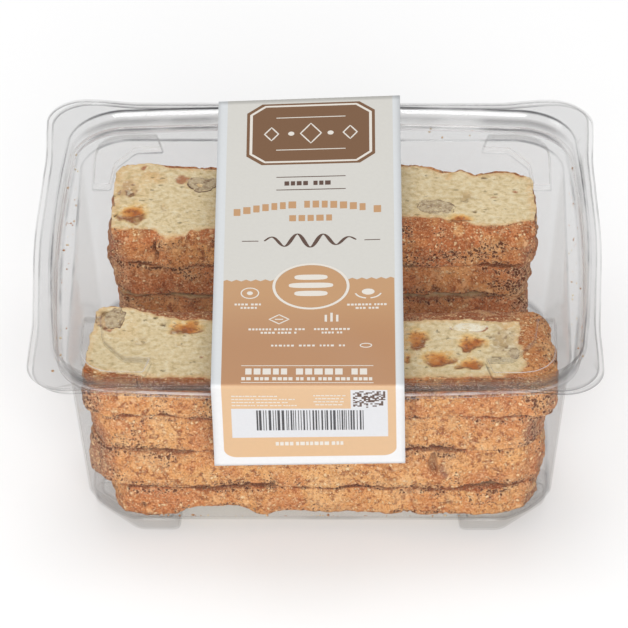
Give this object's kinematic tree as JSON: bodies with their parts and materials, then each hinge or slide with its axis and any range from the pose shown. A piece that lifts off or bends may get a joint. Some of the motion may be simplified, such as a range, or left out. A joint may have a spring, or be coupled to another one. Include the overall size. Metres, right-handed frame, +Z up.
{
  "type": "biscotti pack",
  "caption": "Shut clear plastic tub of long biscotti slices with nuts, with a clear lid and a paper band label over the lid and down the front.",
  "frame": {"origin": "middle of the footprint, on the surface that the feet stand on", "axes": "+X along the long side, to the right as seen from the front; -Y towards the front; +Z up through the lid"},
  "size_m": [0.152, 0.1322, 0.0602],
  "materials": {
    "clear_tub": "clear, thin, glossy formed sheet",
    "clear_lid": "clear, thin, glossy formed sheet",
    "label_paper": "smooth coated paper, printed in tan, brown and cream",
    "biscotti": "baked crust, rough and pored, with cream crumb on the cut faces"
  },
  "bodies": {
    "root": {"tub": "clear_tub", "lid": "clear_lid", "label": "label_paper", "slice_front_1": "biscotti", "slice_front_2": "biscotti", "slice_front_3": "biscotti", "slice_front_4": "biscotti", "slice_back_1": "biscotti", "slice_back_2": "biscotti", "slice_back_3": "biscotti", "slice_back_4": "biscotti"}
  },
  "joints": []
}
